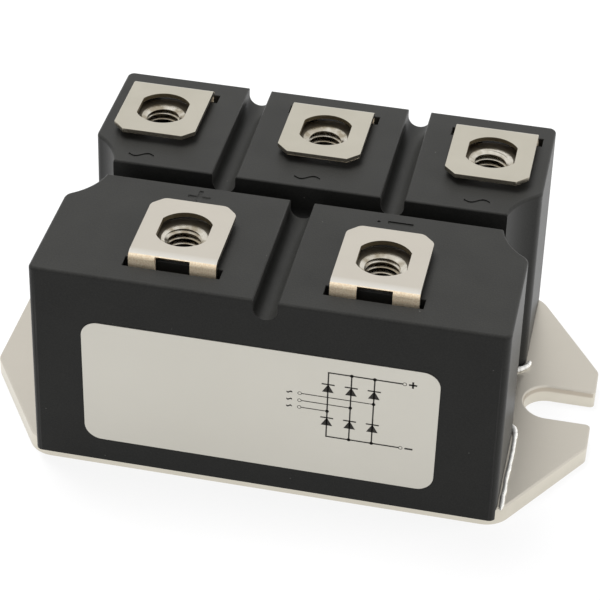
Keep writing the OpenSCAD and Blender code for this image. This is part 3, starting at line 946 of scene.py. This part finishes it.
def place_camera():
    """The camera stands in front, a little to the right and well above, with a slight roll."""
    azimuth, elevation, roll = (math.radians(a) for a in (10.68, 37.22, 1.86))
    focal, distance = 130.494, 340.4 * MM
    move_right, move_up = -0.23 * MM, 0.73 * MM
    aim = Vector((0, 0, 15 * MM))
    back = Vector((math.sin(azimuth) * math.cos(elevation),
                   -math.cos(azimuth) * math.cos(elevation), math.sin(elevation)))
    right = (-back).cross(Vector((0, 0, 1))).normalized()
    up = right.cross(-back)
    right, up = (right * math.cos(roll) + up * math.sin(roll),
                 up * math.cos(roll) - right * math.sin(roll))
    data = bpy.data.cameras.new("camera")
    data.sensor_width = 36
    data.lens = focal
    data.clip_start = 0.01
    camera = bpy.data.objects.new("camera", data)
    turn = Matrix((right, up, back)).transposed().to_4x4()
    place = aim + right * move_right + up * move_up + back * distance
    camera.matrix_world = Matrix.Translation(place) @ turn
    bpy.context.scene.collection.objects.link(camera)
    bpy.context.scene.camera = camera


def area_light(name, place, aim, size, power):
    """A soft square lamp, which mirrors don't show."""
    data = bpy.data.lights.new(name, "AREA")
    data.shape = "SQUARE"
    data.size = size
    data.energy = power
    light = bpy.data.objects.new(name, data)
    light.location = place
    light.rotation_euler = (Vector(place) - Vector(aim)).to_track_quat("Z", "Y").to_euler()
    light.visible_glossy = False
    bpy.context.scene.collection.objects.link(light)


def either(tree, a, b):
    """1 where one of two sockets is 1."""
    node = tree.nodes.new("ShaderNodeMath")
    node.operation = "MAXIMUM"
    tree.links.new(a, node.inputs[0])
    tree.links.new(b, node.inputs[1])
    return node.outputs[0]


def shader_mix(tree, factor, first, second):
    """The first shader where factor is 0 and the second where it is 1."""
    node = tree.nodes.new("ShaderNodeMixShader")
    for socket, link in zip(node.inputs, (factor, first, second)):
        tree.links.new(link, socket)
    return node.outputs[0]


def seen_white(tree, shown, lit):
    """Mixes in what the camera, mirrors and glass see in place of what lights the object."""
    path = tree.nodes.new("ShaderNodeLightPath")
    mirrored = either(tree, path.outputs["Is Camera Ray"], path.outputs["Is Glossy Ray"])
    seen = either(tree, mirrored, path.outputs["Is Transmission Ray"])
    return shader_mix(tree, seen, lit, shown)


def light_the_studio():
    scene = bpy.context.scene
    scene.view_settings.view_transform = "Standard"
    world = bpy.data.worlds.new("studio")
    scene.world = world
    world.use_nodes = True
    tree = world.node_tree
    lit = tree.nodes["Background"]
    lit.inputs["Color"].default_value = (0.97, 0.98, 1.0, 1)
    lit.inputs["Strength"].default_value = 0.25
    shown = tree.nodes.new("ShaderNodeBackground")
    shown.inputs["Color"].default_value = (1, 1, 1, 1)
    shown.inputs["Strength"].default_value = 1.0
    tree.links.new(seen_white(tree, shown.outputs[0], lit.outputs[0]),
                   tree.nodes["World Output"].inputs["Surface"])
    area_light("overhead", (-0.14, 0.16, 0.5), (0, 0, 0.02), 0.3, 4.9)
    area_light("front_fill", (-0.06, -0.5, 0.2), (0, 0, 0.02), 0.4, 0.55)
    area_light("right_fill", (0.5, 0.04, 0.12), (0.04, 0, 0.015), 0.3, 2.8)


def diffuse(tree, level):
    """A matt grey shader."""
    node = tree.nodes.new("ShaderNodeBsdfDiffuse")
    node.inputs["Color"].default_value = (level, level, level, 1)
    return node.outputs[0]


def build_floor():
    """A pale floor just below the plate, clear from below so that the underside shows."""
    drop = 0.05 * MM
    glow_level, shown_level, lit_level = 0.87, 0.13, 0.30
    bpy.ops.mesh.primitive_plane_add(size=6, location=(0, 0, -drop))
    floor = bpy.context.object
    floor.name = "floor"
    material = bpy.data.materials.new("pale_floor")
    material.use_nodes = True
    tree = material.node_tree
    tree.nodes.clear()
    glow = tree.nodes.new("ShaderNodeEmission")
    glow.inputs["Strength"].default_value = glow_level
    bright = tree.nodes.new("ShaderNodeAddShader")
    tree.links.new(diffuse(tree, shown_level), bright.inputs[0])
    tree.links.new(glow.outputs[0], bright.inputs[1])
    above = seen_white(tree, bright.outputs[0], diffuse(tree, lit_level))
    clear = tree.nodes.new("ShaderNodeBsdfTransparent")
    side = tree.nodes.new("ShaderNodeNewGeometry")
    out = tree.nodes.new("ShaderNodeOutputMaterial")
    tree.links.new(shader_mix(tree, side.outputs["Backfacing"], above, clear.outputs[0]),
                   out.inputs["Surface"])
    floor.data.materials.append(material)


# ---------- the object ----------

def paint_inner_nodes():
    """Finishes of the CAD nodes that stay as they are, inside the housing."""
    copper = plain_metal("bare_copper_foil", (0.78, 0.42, 0.27), 0.30)
    finishes = {
        "ceramic": plain_solid("white_alumina", (0.86, 0.85, 0.81), (0.80, 0.79, 0.75),
                               0.6, 0.4 * MM),
        "diode": plain_solid("dark_silicon", (0.07, 0.08, 0.12), (0.04, 0.045, 0.07),
                             0.15, 1.5 * MM),
        "gel_fill": gel_finish(),
        "track": copper,
        "clip": copper,
        "copper": copper,
    }
    for node, piece in frame["nodes"].items():
        for word, finish in finishes.items():
            if word in node:
                piece.data.materials.clear()
                piece.data.materials.append(finish)


place_camera()
light_the_studio()
build_floor()
paint_inner_nodes()
build_plate(plate_finish("satin_nickel_plate", 0.01 * MM), plate_edge_highlight_finish(),
            plate_finish("flat_nickel_underside", 0))
build_housing(moulded_finish())
build_straps(strap_finish(), sheared_finish(), shaded_hole_wall_finish())
build_nuts(nut_finish())
build_bead(glue_finish())
build_label(label_finish(), ink_finish())
